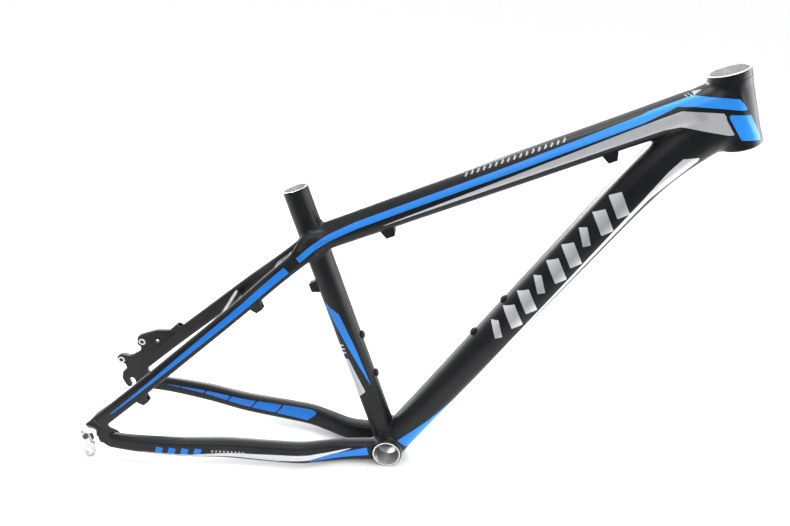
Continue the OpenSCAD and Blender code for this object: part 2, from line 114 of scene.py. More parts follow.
# A station is x, y, z, depth, width, squareness, pinch. Depth is across the tube in the frame's plane
# and width is across it sideways. Squareness 2 is an ellipse. Pinch narrows the upper half.
top_tube_drop, top_tube_head_drop, down_tube_head_drop = 74, 29, 50
seat_joint = (seat_len - top_tube_drop) * seat_dir
head_joint = head_top - top_tube_head_drop * head_dir
top_run = head_joint - seat_joint
down_start = np.array([5.0, 0, 0])


def top_station(s, *section):
    return [*(seat_joint + s * top_run), *section]


def down_station(along, depth, width):
    return [*(down_start + along * down_dir), depth, width, 2.5, 0]


top_keys = [
    top_station(0, 36, 46, 2.8, 0.5),
    top_station(0.1, 37, 43, 2.7, 0.42),
    top_station(0.25, 39, 40, 2.6, 0.25),
    top_station(0.5, 40, 40, 2.5, 0.1),
    top_station(0.75, 40, 42, 2.5, 0),
    top_station(0.9, 41, 46, 2.5, 0),
    top_station(1, 42, 46, 2.5, 0),
]
down_keys = [
    down_station(0, 43, 52),
    down_station(95, 43.5, 50),
    down_station(220, 46.5, 48),
    down_station(355, 49.5, 47),
    down_station(490, 52, 46),
    [338, 0, 441, 55, 46, 2.5, 0],
    [380, 0, 480, 62, 46, 2.5, 0],
    [*(head_top - down_tube_head_drop * head_dir), 66, 46, 2.5, 0],
]
# A chainstay falls straight from its rear end and then runs level. A seatstay is straight up to the yoke.
chainstay_rear, chainstay_level_x = (-391, 32), -65
seatstay_rear, seatstay_yoke = (-403, 61), (-124, 296)
stay_rear_y = 76


def chainstay_station(x, y, depth, width):
    height = chainstay_rear[1] * (chainstay_level_x - x) / (chainstay_level_x - chainstay_rear[0])
    return [x, y, max(0, height), depth, width, 3, 0]


def seatstay_station(x, y, depth, width):
    share = (x - seatstay_rear[0]) / (seatstay_yoke[0] - seatstay_rear[0])
    height = seatstay_rear[1] + share * (seatstay_yoke[1] - seatstay_rear[1])
    return [x, y, height, depth, width, 2.6, 0]


chainstay_keys = [
    chainstay_station(chainstay_rear[0], stay_rear_y, 22, 15),
    chainstay_station(-350, stay_rear_y, 24, 16),
    chainstay_station(-290, 70, 27, 19),
    chainstay_station(-230, 58.5, 29, 20),
    chainstay_station(-170, 53, 31, 20),
    chainstay_station(-125, 48, 32, 20),
    chainstay_station(-95, 38, 32, 20),
    chainstay_station(-60, 25.5, 31, 22),
    chainstay_station(-10, 20, 30, 24),
]
# The seatstay and the prong that carries it round the seat tube are one run of stations
seatstay_keys = [
    seatstay_station(seatstay_rear[0], stay_rear_y, 21, 15),
    seatstay_station(-340, 72, 21, 16),
    seatstay_station(-280, 62, 21, 17),
    seatstay_station(-225, 53, 21, 17),
    seatstay_station(-190, 45.5, 21, 17),
    seatstay_station(-155, 32, 22, 17),
    seatstay_station(seatstay_yoke[0], 26, 23, 17),
    [-112, 24, 308, 28, 15, 2.7, 0],
    [-101, 20, 319, 32, 11, 2.6, 0],
]
# The station at which the seatstay ends and the prong starts
PRONG_FROM = 6


def spline(keys, t):
    """Catmull-Rom curve through the stations, t from 0 to the last index."""
    keys = np.asarray(keys, float)
    t = np.asarray(t, float)
    last = len(keys) - 1
    i = np.clip(np.floor(t), 0, last - 1).astype(int)
    f = (t - i)[..., None]
    a, b = keys[np.maximum(i - 1, 0)], keys[i]
    c, d = keys[i + 1], keys[np.minimum(i + 2, last)]
    return (2 * b + (c - a) * f + (2 * a - 5 * b + 4 * c - d) * f**2 + (3 * b - a - 3 * c + d) * f**3) / 2


def spow(v, p):
    return np.sign(v) * np.abs(v) ** p


def upper_half(v):
    """0 below the shoulder of a section and 1 at its top."""
    return np.where(v <= -0.1, 0, np.sin(np.clip((v + 0.1) / 0.6, 0, 1) * math.pi / 2) ** 2)


class Loft:
    """A tube whose section follows stations."""

    def __init__(self, keys, t0=0.0, t1=None):
        self.keys = np.array(keys, float)
        self.t0 = t0
        self.t1 = len(keys) - 1 if t1 is None else t1
        self.t = np.linspace(self.t0, self.t1, 500)
        self.stations = spline(self.keys, self.t)
        self.frames = self.frame_at(self.t)
        self.run = np.concatenate(
            [[0], np.cumsum(np.linalg.norm(np.diff(self.stations[:, :3], axis=0), axis=1))]
        )

    def frame_at(self, t):
        last = len(self.keys) - 1
        ahead = spline(self.keys, np.minimum(t + 0.05, last))[..., :3]
        behind = spline(self.keys, np.maximum(t - 0.05, 0))[..., :3]
        along = unit(ahead - behind)
        side = unit(np.array([0, 1.0, 0]) - along[..., 1:2] * along)
        return along, side, np.cross(along, side)

    def surface(self, t, a):
        """Points at stations t and angles a, as a grid. Angle 0 is the left side, 90 degrees the top."""
        s = spline(self.keys, t)[:, None, :]
        _, side, up = self.frame_at(t)
        v = spow(np.sin(a), 2 / s[..., 5])
        u = spow(np.cos(a), 2 / s[..., 5]) * (1 - s[..., 6] * upper_half(v / 2))
        return (
            s[..., :3]
            + side[:, None] * (u * (s[..., 4] / 2))[..., None]
            + up[:, None] * (v * (s[..., 3] / 2))[..., None]
        )

    def t_at(self, run):
        return np.interp(run, self.run, self.t)

    def nearest(self, p):
        """The place along the stations that is nearest each point, and how far past an end it lies."""
        at = np.empty(len(p))
        for k in range(0, len(p), 4000):
            gap = p[k : k + 4000, None, :] - self.stations[None, :, :3]
            i = np.argmin((gap**2).sum(2), axis=1)
            ahead = np.einsum("ij,ij->i", p[k : k + 4000] - self.stations[i, :3], self.frames[0][i])
            at[k : k + 4000] = self.run[i] + ahead
        past = np.maximum(np.maximum(-at, at - self.run[-1]), 0)
        return self.t_at(np.clip(at, 0, self.run[-1])), past

    def distance(self, p):
        """Distance of each point outside the surface, close to it."""
        t, past = self.nearest(p)
        s = spline(self.keys, t)
        _, side, up = self.frame_at(t)
        gap = p - s[:, :3]
        x, y = np.einsum("ij,ij->i", gap, side), np.einsum("ij,ij->i", gap, up)

        def level(x, y):
            v = y / (s[:, 3] / 2)
            narrow = 1 - s[:, 6] * upper_half(np.clip(v, -1, 1) / 2)
            u = x / (s[:, 4] / 2 * narrow)
            return (np.abs(u) ** s[:, 5] + np.abs(v) ** s[:, 5] + 1e-12) ** (1 / s[:, 5])

        here = level(x, y)
        step = 0.05
        slope = np.hypot(level(x + step, y) - here, level(x, y + step) - here) / step
        out = (here - 1) / np.maximum(slope, 1e-4)
        return np.where(past > 0, np.hypot(np.maximum(out, 0), past), out)


class Pipe:
    """A turned piece on a straight axis, whose radius may change along it."""

    def __init__(self, start, axis, profile):
        self.start, self.axis = np.asarray(start, float), unit(axis)
        self.h, self.r = np.array(profile, float).T
        across = np.array([0, 1.0, 0]) if abs(self.axis[1]) < 0.9 else np.array([1.0, 0, 0])
        self.side = unit(across - across @ self.axis * self.axis)
        self.up = np.cross(self.axis, self.side)

    def surface(self, h, a, r):
        ring = np.cos(a)[None, :, None] * self.side + np.sin(a)[None, :, None] * self.up
        return self.start + np.asarray(h)[:, None, None] * self.axis + np.asarray(r)[:, None, None] * ring

    def height_and_radius(self, p):
        gap = p - self.start
        h = gap @ self.axis
        return h, np.linalg.norm(gap - h[:, None] * self.axis, axis=1)

    def outward(self, p):
        """Directions straight away from the axis."""
        gap = p - self.start
        return unit(gap - (gap @ self.axis)[:, None] * self.axis)

    def distance(self, p):
        """Distance of each point outside the surface."""
        h, radial = self.height_and_radius(p)
        out = radial - np.interp(h, self.h, self.r)
        past = np.maximum(np.maximum(self.h[0] - h, h - self.h[-1]), 0)
        return np.where(past > 0, np.hypot(np.maximum(out, 0), past), out)


HEAD_RIM_R, HEAD_WAIST_R = 24.4, 23.6
head_profile = [
    (0, HEAD_RIM_R),
    (7, HEAD_RIM_R),
    (17, HEAD_WAIST_R),
    (head_len - 20, HEAD_WAIST_R),
    (head_len - 10.5, HEAD_RIM_R),
    (head_len, HEAD_RIM_R),
]
head = Pipe(head_bottom, head_dir, head_profile)
seat = Pipe([0, 0, 0], seat_dir, [(0, seat_r), (seat_len, seat_r)])
shell = Pipe([0, -shell_half, 0], [0, 1, 0], [(0, shell_r), (2 * shell_half, shell_r)])
top = Loft(top_keys)
down = Loft(down_keys)


def mirrored(keys):
    return [[k[0], -k[1], *k[2:]] for k in keys]


chainstays = {"left": Loft(chainstay_keys), "right": Loft(mirrored(chainstay_keys))}
seatstays = {"left": Loft(seatstay_keys), "right": Loft(mirrored(seatstay_keys))}

# ---------- Joints that flow into each other ----------

# Multiples of the softness: how far off and how deep a joint is worked out, and the highest rise
BLEND_NEAR, BLEND_DEEP, BLEND_HIGHEST = 7, 8, 9.0
# Stands for a point that is clear of a joint, or with the other sign far past it
CLEAR = -1e3


def blend(p, normals, others, softness):
    """Raises points of one surface along their normals on to the smooth union with the other surfaces.

    Returns the new points, and how far each lies past the line where another surface takes over.
    """
    p = p.copy()
    past = np.full(len(p), CLEAR)
    gap = np.stack([o.distance(p) for o in others]).min(0)
    near = np.flatnonzero((gap < BLEND_NEAR * softness) & (gap > -BLEND_DEEP * softness))
    past[gap <= -BLEND_DEEP * softness] = -CLEAR
    if len(near) == 0:
        return p, past
    q, n = p[near], normals[near]

    def above(rise):
        """Whether a point raised this far is still under the smooth union."""
        total = np.exp(-rise / softness) - 1
        for o in others:
            total = total + np.exp(-np.clip(o.distance(q + n * rise[:, None]) / softness, -50, 50))
        return total > 0

    low, high = np.zeros(len(near)), np.full(len(near), BLEND_HIGHEST * softness)
    open_still = np.ones(len(near), bool)
    for k in (0.2, 0.5, 0.8, 1.2, 1.8, 2.6, 4.0, 6.0):
        rise = np.full(len(near), k * softness)
        under = above(rise)
        high = np.where(open_still & ~under, rise, high)
        open_still &= under
        low = np.where(open_still, rise, low)
    for _ in range(8):
        middle = (low + high) / 2
        under = above(middle)
        low, high = np.where(under, middle, low), np.where(under, high, middle)
    rise = (low + high) / 2
    raised = q + n * rise[:, None]
    nearest_other = np.min([o.distance(raised) for o in others], axis=0)
    past[near] = rise - nearest_other
    p[near] = raised
    return p, past


def grid_faces(rows, columns):
    """Quads of a grid of points, row by row. The last column joins the first."""
    i, j = np.meshgrid(np.arange(rows - 1), np.arange(columns), indexing="ij")
    a, b = i * columns + j, i * columns + (j + 1) % columns
    return np.stack([a, b, b + columns, a + columns], -1).reshape(-1, 4)


def grid_normals(grid):
    """Outward normals of a grid whose columns run round a tube."""
    along = np.gradient(grid, axis=0)
    around = np.roll(grid, -1, 1) - np.roll(grid, 1, 1)
    return unit(np.cross(around, along) + 1e-12)


def clip(points, faces, past, margin):
    """Cuts a mesh along the line where past equals margin, and keeps the side below it."""
    inside = past <= margin
    count = inside[faces].sum(1)
    kept = [tuple(f) for f in faces[count == faces.shape[1]]]
    points, made = list(points), {}
    for face in faces[(count > 0) & (count < faces.shape[1])]:
        corners = []
        for a, b in zip(face, np.roll(face, -1)):
            if inside[a]:
                corners.append(int(a))
            if inside[a] != inside[b]:
                key = (min(a, b), max(a, b))
                if key not in made:
                    share = (margin - past[key[0]]) / (past[key[1]] - past[key[0]])
                    made[key] = len(points)
                    points.append(points[key[0]] * (1 - share) + points[key[1]] * share)
                corners.append(made[key])
        if len(corners) > 2:
            kept.append(tuple(corners))
    return np.array(points), kept


# ---------- Meshes ----------

# The pieces stay this far inside the CAD model's box, in metres
EDGE = 1e-5


def tidy_mesh(me):
    """Joins doubles and drops loose vertices."""
    bm = bmesh.new()
    bm.from_mesh(me)
    bmesh.ops.remove_doubles(bm, verts=bm.verts, dist=1e-7)
    bmesh.ops.delete(bm, geom=[v for v in bm.verts if not v.link_faces], context="VERTS")
    bm.to_mesh(me)
    bm.free()


def make_piece(node, points, faces, materials, slots=None, crease=35.0):
    """A piece that stands for a CAD node. slots gives each face's index in materials."""
    name = f"{node}_look"
    me = bpy.data.meshes.new(name)
    low, high = (np.array(corner) for corner in cad_box)
    places = np.clip(np.asarray(points) * MM, low + EDGE, high - EDGE)
    me.from_pydata([tuple(p) for p in places], [], [list(map(int, f)) for f in faces])
    for m in materials:
        me.materials.append(m)
    if slots is not None:
        me.polygons.foreach_set("material_index", np.asarray(slots, np.int32))
    tidy_mesh(me)
    me.shade_smooth()
    me.set_sharp_from_angle(angle=math.radians(crease))
    piece = bpy.data.objects.new(name, me)
    bpy.context.scene.collection.objects.link(piece)
    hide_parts(node)
    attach(piece, "root")
    return piece


def steps(n):
    return max(int(n * FINE), 8)


def angles(n):
    return np.linspace(0, 2 * math.pi, n, endpoint=False)


# A piece runs on this far past the line where another takes over, and dips this far under it there
MARGIN = 1.0
SINK = 0.35


def sunk(points, normals, past):
    """Dips the points that lie past a joint under the other surface."""
    return points - normals * (np.clip(past / MARGIN, 0, 1) ** 2 * SINK)[:, None]


def domed(grid, back, depth):
    """Rows that close the first row of a grid with a cap, flat in the middle and round at its edge."""
    centre = grid[0].mean(axis=0)
    turns = np.linspace(math.pi / 2, 0, 9)[:-1]
    rows = [
        centre + (grid[0] - centre) * math.cos(q) ** 0.35 + back * depth * math.sin(q) for q in turns[1:]
    ]
    tip = np.repeat(centre[None] + back * depth, grid.shape[1], axis=0)
    return np.concatenate([tip[None], rows, grid])


def blended_tube(loft, t, a, joints, cap=0.0):
    """The loft's surface, raised into its joints and cut where other pieces take over.

    joints is a list of (other surfaces, softness). cap is the depth of the cap at the first station.
    """
    grid = loft.surface(t, a)
    if cap:
        grid = domed(grid, -loft.frame_at(t[:1])[0][0], cap)
    normals = grid_normals(grid).reshape(-1, 3)
    points = grid.reshape(-1, 3)
    faces = grid_faces(len(grid), len(a))
    raised, past = points, np.full(len(points), CLEAR)
    for others, softness in joints:
        moved, over = blend(points, normals, others, softness)
        further = over > past
        raised = np.where(further[:, None], moved, raised)
        past = np.maximum(past, over)
    return clip(sunk(raised, normals, past), faces, past, MARGIN)


# ---------- Materials ----------


class Shader:
    """A node material with a Principled shader, built with short calls."""

    def __init__(self, name):
        self.material = bpy.data.materials.new(name)
        self.material.use_nodes = True
        self.tree = self.material.node_tree
        self.principled = self.tree.nodes["Principled BSDF"]

    def set(self, **values):
        for key, value in values.items():
            self.principled.inputs[key.replace("_", " ")].default_value = value
        return self

    def node(self, kind, inputs=None, **settings):
        n = self.tree.nodes.new("ShaderNode" + kind)
        for key, value in settings.items():
            setattr(n, key, value)
        for key, value in (inputs or {}).items():
            if isinstance(value, bpy.types.NodeSocket):
                self.tree.links.new(value, n.inputs[key])
            else:
                n.inputs[key].default_value = value
        return n

    def math(self, operation, *values):
        return self.node("Math", dict(enumerate(values)), operation=operation).outputs[0]

    def mix(self, share, a, b):
        n = self.node("Mix", {0: share, 6: a, 7: b}, data_type="RGBA")
        return n.outputs[2]

    def place(self):
        return self.node("TexCoord").outputs["Object"]

    def noise(self, scale, detail=2.0, roughness=0.5, stretch=None):
        where = self.place()
        if stretch:
            where = self.node("Mapping", {"Vector": where, "Scale": stretch}).outputs[0]
        return self.node(
            "TexNoise", {"Vector": where, "Scale": scale, "Detail": detail, "Roughness": roughness}
        ).outputs["Fac"]

    def spread(self, value, low, high, from_low=0.3, from_high=0.7):
        return self.node(
            "MapRange", {0: value, 1: from_low, 2: from_high, 3: low, 4: high}
        ).outputs[0]

    def field(self, name):
        return self.node("Attribute", attribute_name=name).outputs["Fac"]

    def edge(self, name):
        """1 inside a decal and 0 outside, from its distance in millimetres."""
        softness = 0.12
        return self.node(
            "MapRange", {0: self.field(name), 1: -softness, 2: softness, 3: 0.0, 4: 1.0}
        ).outputs[0]

    def bump(self, height, strength, distance, below=None):
        inputs = {"Height": height, "Strength": strength, "Distance": distance}
        if below is not None:
            inputs["Normal"] = below
        return self.node("Bump", inputs).outputs[0]

    def feed(self, **links):
        for key, value in links.items():
            self.tree.links.new(value, self.principled.inputs[key.replace("_", " ")])
        return self.material


BLACK = (0.0085, 0.009, 0.010, 1)
BLACK_WORN = (0.012, 0.0125, 0.014, 1)
BLUE_REAR = (0.012, 0.145, 0.54, 1)
BLUE_FRONT = (0.035, 0.30, 0.90, 1)
# The silver decals run from the dark to the light tone with the painted sheen
SILVER_LIGHT = (0.74, 0.75, 0.77, 1)
SILVER_DARK = (0.22, 0.23, 0.25, 1)
PALE = (0.36, 0.37, 0.39, 1)


def powder_coat(s, roughness=0.36):
    """Satin black with the fine orange peel of powder coat."""
    cloud = s.noise(18.0, 3.0)
    peel = s.noise(1100.0, 2.0, 0.6)
    waves = s.noise(160.0, 1.0)
    colour = s.mix(s.spread(cloud, 0.0, 1.0), BLACK, BLACK_WORN)
    gloss = s.spread(s.noise(45.0, 4.0), roughness - 0.03, roughness + 0.05)
    fine = s.bump(peel, 0.10, 0.0002)
    normal = s.bump(waves, 0.10, 0.0004, fine)
    return colour, gloss, normal


def plain_paint(name, roughness=0.36):
    s = Shader(name)
    s.set(Specular_IOR_Level=0.22)
    colour, gloss, normal = powder_coat(s, roughness)
    return s.feed(Base_Color=colour, Roughness=gloss, Normal=normal)


def graphic_paint(name):
    """The black coat with blue, silver and pale decals, which vertex fields outline."""
    s = Shader(name)
    s.set(Specular_IOR_Level=0.22)
    colour, gloss, normal = powder_coat(s)
    where = s.place()
    x = s.node("SeparateXYZ", {0: where}).outputs[0]
    forward = s.spread(x, 0.0, 1.0, -0.42, 0.42)
    blue = s.mix(forward, BLUE_REAR, BLUE_FRONT)
    # The silver's tone is the sheen field, a painted reflection, with brushed grain from stretched noise
    brushed = s.noise(1.0, 3.0, 0.6, stretch=(900.0, 900.0, 40.0))
    sheen = s.field("sheen")
    tone = s.math("ADD", s.math("MULTIPLY", sheen, 0.8), s.math("MULTIPLY", brushed, 0.2))
    silver = s.mix(tone, SILVER_DARK, SILVER_LIGHT)
    in_blue, in_silver, in_pale = s.edge("blue"), s.edge("silver"), s.edge("pale")
    colour = s.mix(in_blue, colour, blue)
    colour = s.mix(in_silver, colour, silver)
    colour = s.mix(in_pale, colour, PALE)
    metal = s.math("MULTIPLY", in_silver, 0.25)
    film = s.math("MAXIMUM", s.math("MAXIMUM", in_blue, in_silver), in_pale)
    gloss = s.node("Mix", {0: film, 2: gloss, 3: 0.30}).outputs[0]
    step = s.bump(film, 0.25, 0.00008, normal)
    return s.feed(Base_Color=colour, Metallic=metal, Roughness=gloss, Normal=step)


def turned_metal(name, base=(0.78, 0.785, 0.79, 1), roughness=0.26):
    """Bare aluminium with the rings that a lathe leaves. The field turn is the way along the cut."""
    s = Shader(name)
    s.set(Metallic=0.6)
    ring = s.math("SINE", s.math("MULTIPLY", s.field("turn"), 2 * math.pi / 0.35))
    cloud = s.noise(60.0, 4.0)
    colour = s.mix(s.spread(cloud, 0.0, 1.0), base, tuple(c * 0.82 for c in base[:3]) + (1,))
    gloss = s.spread(s.noise(60.0, 2.0), roughness - 0.03, roughness + 0.05)
    return s.feed(Base_Color=colour, Roughness=gloss, Normal=s.bump(ring, 0.08, 0.00004))


def bare_metal(name, base, roughness):
    s = Shader(name)
    s.set(Metallic=1.0)
    cloud = s.noise(90.0, 4.0)
    colour = s.mix(s.spread(cloud, 0.0, 1.0), base, tuple(c * 0.85 for c in base[:3]) + (1,))
    gloss = s.spread(s.noise(300.0, 3.0), roughness - 0.05, roughness + 0.08)
    return s.feed(Base_Color=colour, Roughness=gloss, Normal=s.bump(s.noise(500.0, 3.0), 0.12, 0.0002))


graphics = graphic_paint("tube_paint_graphics")
coat = plain_paint("satin_black_coat")
matt = plain_paint("guide_black_coat", 0.42)
inside = plain_paint("dark_inside", 0.6)
turned = turned_metal("turned_aluminium")
threaded = turned_metal("threaded_aluminium", (0.30, 0.30, 0.305, 1), 0.36)
tumbled = bare_metal("tumbled_aluminium", (0.62, 0.625, 0.635, 1), 0.36)
steel = bare_metal("blackened_steel", (0.10, 0.10, 0.105, 1), 0.34)

# ---------- Main tubes ----------

HEAD_SOFT = 3.0
SEAT_SOFT = 2.2
SHELL_SOFT = 1.8
prong_run = [*seatstay_keys, [-84, 14, 325, 24, 8, 2.4, 0]]
prongs = {
    "left": Loft(prong_run, PRONG_FROM, len(prong_run) - 1),
    "right": Loft(mirrored(prong_run), PRONG_FROM, len(prong_run) - 1),
}
all_prongs = list(prongs.values())
all_chainstays = list(chainstays.values())


def set_field(piece, name, values):
    """Stores one number per vertex for the shaders."""
    attribute = piece.data.attributes.new(name, "FLOAT", "POINT")
    attribute.data.foreach_set("value", np.asarray(values, np.float32))


def vertices(piece):
    co = np.empty(len(piece.data.vertices) * 3, np.float32)
    piece.data.vertices.foreach_get("co", co)
    return co.reshape(-1, 3).astype(float) / MM


def revolve(pipe, profile, columns):
    """Points and quads of a profile of (height, radius) turned round a pipe's axis."""
    h, r = np.array(profile, float).T
    grid = pipe.surface(h, angles(columns), r)
    return grid, grid_faces(len(h), columns)


def make_head_tube():
    columns = steps(144)
    lip, groove_at = 0.8, head_len - 9.4
    bore, foot = cup_r - 0.7, 2.2
    round_foot = [
        (foot * (1 - math.cos(q)), HEAD_RIM_R - foot * (1 - math.sin(q)))
        for q in np.linspace(0, math.pi / 2, 6)
    ]
    outer = [(h, np.interp(h, head.h, head.r)) for h in np.linspace(foot + 0.6, head_len - lip, steps(110))]
    outer = [(h, r - 0.5 * math.exp(-(((h - groove_at) / 0.45) ** 2))) for h, r in outer]
    inner = [
        (head_len, HEAD_RIM_R - lip),
        (head_len, cup_r + 0.5),
        (head_len - 0.5, cup_r),
        (head_len - cup_depth, cup_r),
        (head_len - cup_depth, bore),
        (cup_depth, bore),
        (cup_depth, cup_r),
        (0.5, cup_r),
        (0, cup_r + 0.5),
        (0, HEAD_RIM_R - foot),
    ]
    profile = round_foot + outer + inner
    grid, faces = revolve(head, profile, columns)
    points = grid.reshape(-1, 3)
    first, last = len(round_foot), len(round_foot) + len(outer)
    rows = slice(first * columns, last * columns)
    normals = head.outward(points[rows])
    past = np.full(len(points), CLEAR)
    points[rows], past[rows] = blend(points[rows], normals, [top, down], HEAD_SOFT)
    points[rows] = sunk(points[rows], normals, past[rows])
    points, kept = clip(points, faces, past, MARGIN)
    heights, radii = head.height_and_radius(points)
    slots = []
    for f in kept:
        h, r = heights[list(f)].mean(), radii[list(f)].mean()
        slots.append(1 if r < HEAD_RIM_R - foot - 0.1 or h > head_len - 0.7 else 0)
    return make_piece("head_tube", points, kept, [graphics, turned], slots)


def make_tube(node, loft, rows, columns, joints, cap=0.0, t0=None, t1=None):
    first, last = loft.run[0] + cap, loft.run[-1]
    if t0 is not None:
        first, last = np.interp([t0, t1], loft.t, loft.run)
        first += cap
    t = loft.t_at(np.linspace(first, last, steps(rows)))
    points, faces = blended_tube(loft, t, angles(steps(columns)), joints, cap)
    return make_piece(node, points, faces, [graphics])


head_tube = make_head_tube()
top_tube = make_tube(
    "top_tube", top, 320, 160, [([head, down], HEAD_SOFT), ([seat, *all_prongs], SEAT_SOFT)]
)
down_tube = make_tube(
    "down_tube", down, 380, 168, [([head, top], HEAD_SOFT), ([seat, shell, *all_chainstays], SHELL_SOFT)]
)


def make_seat_tube():
    columns = steps(128)
    post_end = seat_len - mount_size("seat_post_bore", "length_mm")
    profile = [(h, seat_r) for h in np.linspace(seat_foot, seat_len - clamp_len, steps(230))]
    outer_rows = len(profile)
    profile += [
        (seat_len - clamp_len + 0.15, clamp_r),
        (seat_len - 0.6, clamp_r),
        (seat_len, clamp_r - 0.6),
        (seat_len, post_r + 0.5),
        (seat_len - 0.5, post_r),
        (post_end, post_r),
        (post_end - 0.2, post_r + 0.2),
        (seat_foot, post_r + 0.2),
    ]
    grid, faces = revolve(seat, profile, columns)
    points = grid.reshape(-1, 3)
    rows = slice(0, outer_rows * columns)
    normals = seat.outward(points[rows])
    past = np.full(len(points), CLEAR)
    raised, over = blend(points[rows], normals, [top, *all_prongs], SEAT_SOFT)
    low, low_over = blend(points[rows], normals, [down, shell, *all_chainstays], SHELL_SOFT)
    lower = (low_over > over)[:, None]
    past[rows] = np.maximum(over, low_over)
    points[rows] = sunk(np.where(lower, low, raised), normals, past[rows])
    points, kept = clip(points, faces, past, MARGIN)
    heights, radii = seat.height_and_radius(points)
    slots = []
    for f in kept:
        h, r = heights[list(f)].mean(), radii[list(f)].mean()
        in_bore = r < post_r + 0.9
        bare = in_bore and h > seat_len - seat_bare or h > seat_len - 0.1
        slots.append(1 if bare else 2 if in_bore else 0)
    return make_piece("seat_tube", points, kept, [graphics, turned, inside], slots)


seat_tube = make_seat_tube()


def make_shell():
    columns = steps(160)
    half, chamfer, lead_in = shell_half, 1.4, 1.1
    pitch, depth = 25.4 / 24, 0.45
    outer = [(h, shell_r) for h in np.linspace(-half + chamfer, half - chamfer, steps(90))]
    thread_from, thread_to = half - lead_in, half - 26
    wall = [(h, shell_bore_r) for h in np.linspace(thread_from, thread_to, steps(190))]
    middle = [(thread_to - 1, shell_bore_r + 0.6), (-thread_to + 1, shell_bore_r + 0.6)]
    other = [(-h, r) for h, r in reversed(wall)]
    profile = (
        outer
        + [(half, shell_r - chamfer), (half, shell_bore_r + lead_in)]
        + wall
        + middle
        + other
        + [(-half, shell_bore_r + lead_in), (-half, shell_r - chamfer), (-half + chamfer, shell_r)]
    )
    axis = Pipe([0, 0, 0], [0, 1, 0], [(-half, shell_r), (half, shell_r)])
    grid, faces = revolve(axis, profile, columns)
    a = angles(columns)
    h = np.array(profile)[:, 0]
    in_thread = (np.abs(h) <= thread_from) & (np.abs(h) >= thread_to)
    in_thread[: len(outer)] = False
    turns = h[:, None] / pitch - a[None, :] / (2 * math.pi)
    cut = depth * (1 - np.abs(2 * (turns % 1) - 1)) * in_thread[:, None]
    radial = unit(grid * np.array([1, 0, 1]))
    grid = grid + radial * cut[..., None]
    points = grid.reshape(-1, 3)
    rows = slice(0, len(outer) * columns)
    past = np.full(len(points), CLEAR)
    normals = radial.reshape(-1, 3)[rows]
    points[rows], past[rows] = blend(points[rows], normals, [seat, down, *all_chainstays], SHELL_SOFT)
    points[rows] = sunk(points[rows], normals, past[rows])
    points, kept = clip(points, faces, past, MARGIN)
    slots = []
    for f in kept:
        y = np.abs(points[list(f), 1]).mean()
        r = np.hypot(points[list(f), 0], points[list(f), 2]).mean()
        bore = r < shell_bore_r + lead_in + 0.1 and y < half - 0.05
        slots.append(2 if bore else 1 if y > half - 0.05 else 0)
    materials = [coat, turned, threaded]
    return make_piece("bottom_bracket_shell", points, kept, materials, slots)


bottom_bracket = make_shell()

# ---------- Stays ----------

stay_pieces, prong_pieces = {}, {}
for side in ("left", "right"):
    other = chainstays["right" if side == "left" else "left"]
    stay_pieces["chainstay", side] = make_tube(
        f"chainstay_{side}", chainstays[side], 300, 112, [([shell, seat, down, other], SHELL_SOFT)], cap=3.0
    )
    stay_pieces["seatstay", side] = make_tube(
        f"seatstay_{side}", seatstays[side], 280, 96, [], cap=3.0, t0=0, t1=PRONG_FROM
    )
    prong_pieces[side] = make_tube(
        f"yoke_prong_{side}",
        prongs[side],
        60,
        96,
        [([seat, top], SEAT_SOFT)],
        t0=PRONG_FROM - 0.02,
        t1=len(prong_run) - 1,
    )

# ---------- Decals ----------

# Each decal is a ribbon along a tube: a path of (place, place, width), laid out in shares of the tube's
# length and of half its depth, or in millimetres from a joint. Its field is the distance inside it in
# millimetres. Lettering on the real tubes is left out, and plain slanted bars stand in its place.

# The value of a field where a piece has none of a decal, and the most that a field holds
NO_DECAL, MOST = -20.0, 20.0


def ribbon(places, path, leans=(0, 0)):
    """Distance inside a band along a path. leans slants its two ends."""
    path = np.array(path, float)
    inside = np.full(len(places), CLEAR)
    for a, b in zip(path, path[1:]):
        length = np.linalg.norm(b[:2] - a[:2])
        along = (places - a[:2]) @ (b[:2] - a[:2]) / length
        share = np.clip(along / length, 0, 1)
        nearest = a[:2] + share[:, None] * (b[:2] - a[:2])
        width = a[2] + share * (b[2] - a[2])
        inside = np.maximum(inside, width / 2 - np.linalg.norm(places - nearest, axis=1))
    for end, back, lean in ((path[0], path[1], leans[0]), (path[-1], path[-2], leans[1])):
        inward = unit(back[:2] - end[:2])
        across = np.array([-inward[1], inward[0]])
        cut = (places - end[:2]) @ (inward + lean * across) / math.hypot(1, lean)
        inside = np.minimum(inside, cut)
    return np.clip(inside, NO_DECAL, MOST)


def ribbons(places, paths):
    return np.max([ribbon(places, path) for path in paths], axis=0)


def dress(piece, blue=None, silver=None, pale=None, sheen=0.7):
    """Stores a piece's decal fields, and sheen, the painted reflection that sets how light its silver is. A
    decal that it doesn't have lies far away.
    """
    count = len(piece.data.vertices)
    for name, values in (("blue", blue), ("silver", silver), ("pale", pale)):
        set_field(piece, name, np.full(count, NO_DECAL) if values is None else values)
    set_field(piece, "sheen", np.broadcast_to(sheen, count))


def side_view(p):
    return p[:, [0, 2]]


top_half = 20
top_up = np.cross(unit(top_run), [0, 1, 0])


def on_top(share, lift, width):
    """A place on the top tube in the side view. lift is a share of half its depth."""
    at = seat_joint + share * top_run + lift * top_half * top_up
    return at[0], at[2], width


def by_head(forward, up, width):
    """A place in the side view, from where the top tube's axis meets the head tube's."""
    return head_joint[0] + forward, head_joint[2] + up, width


def on_seatstay(share, lift, width):
    rear, yoke = np.array(seatstay_rear), np.array(seatstay_yoke)
    x, z = rear + share * (yoke - rear)
    return x, z + lift, width


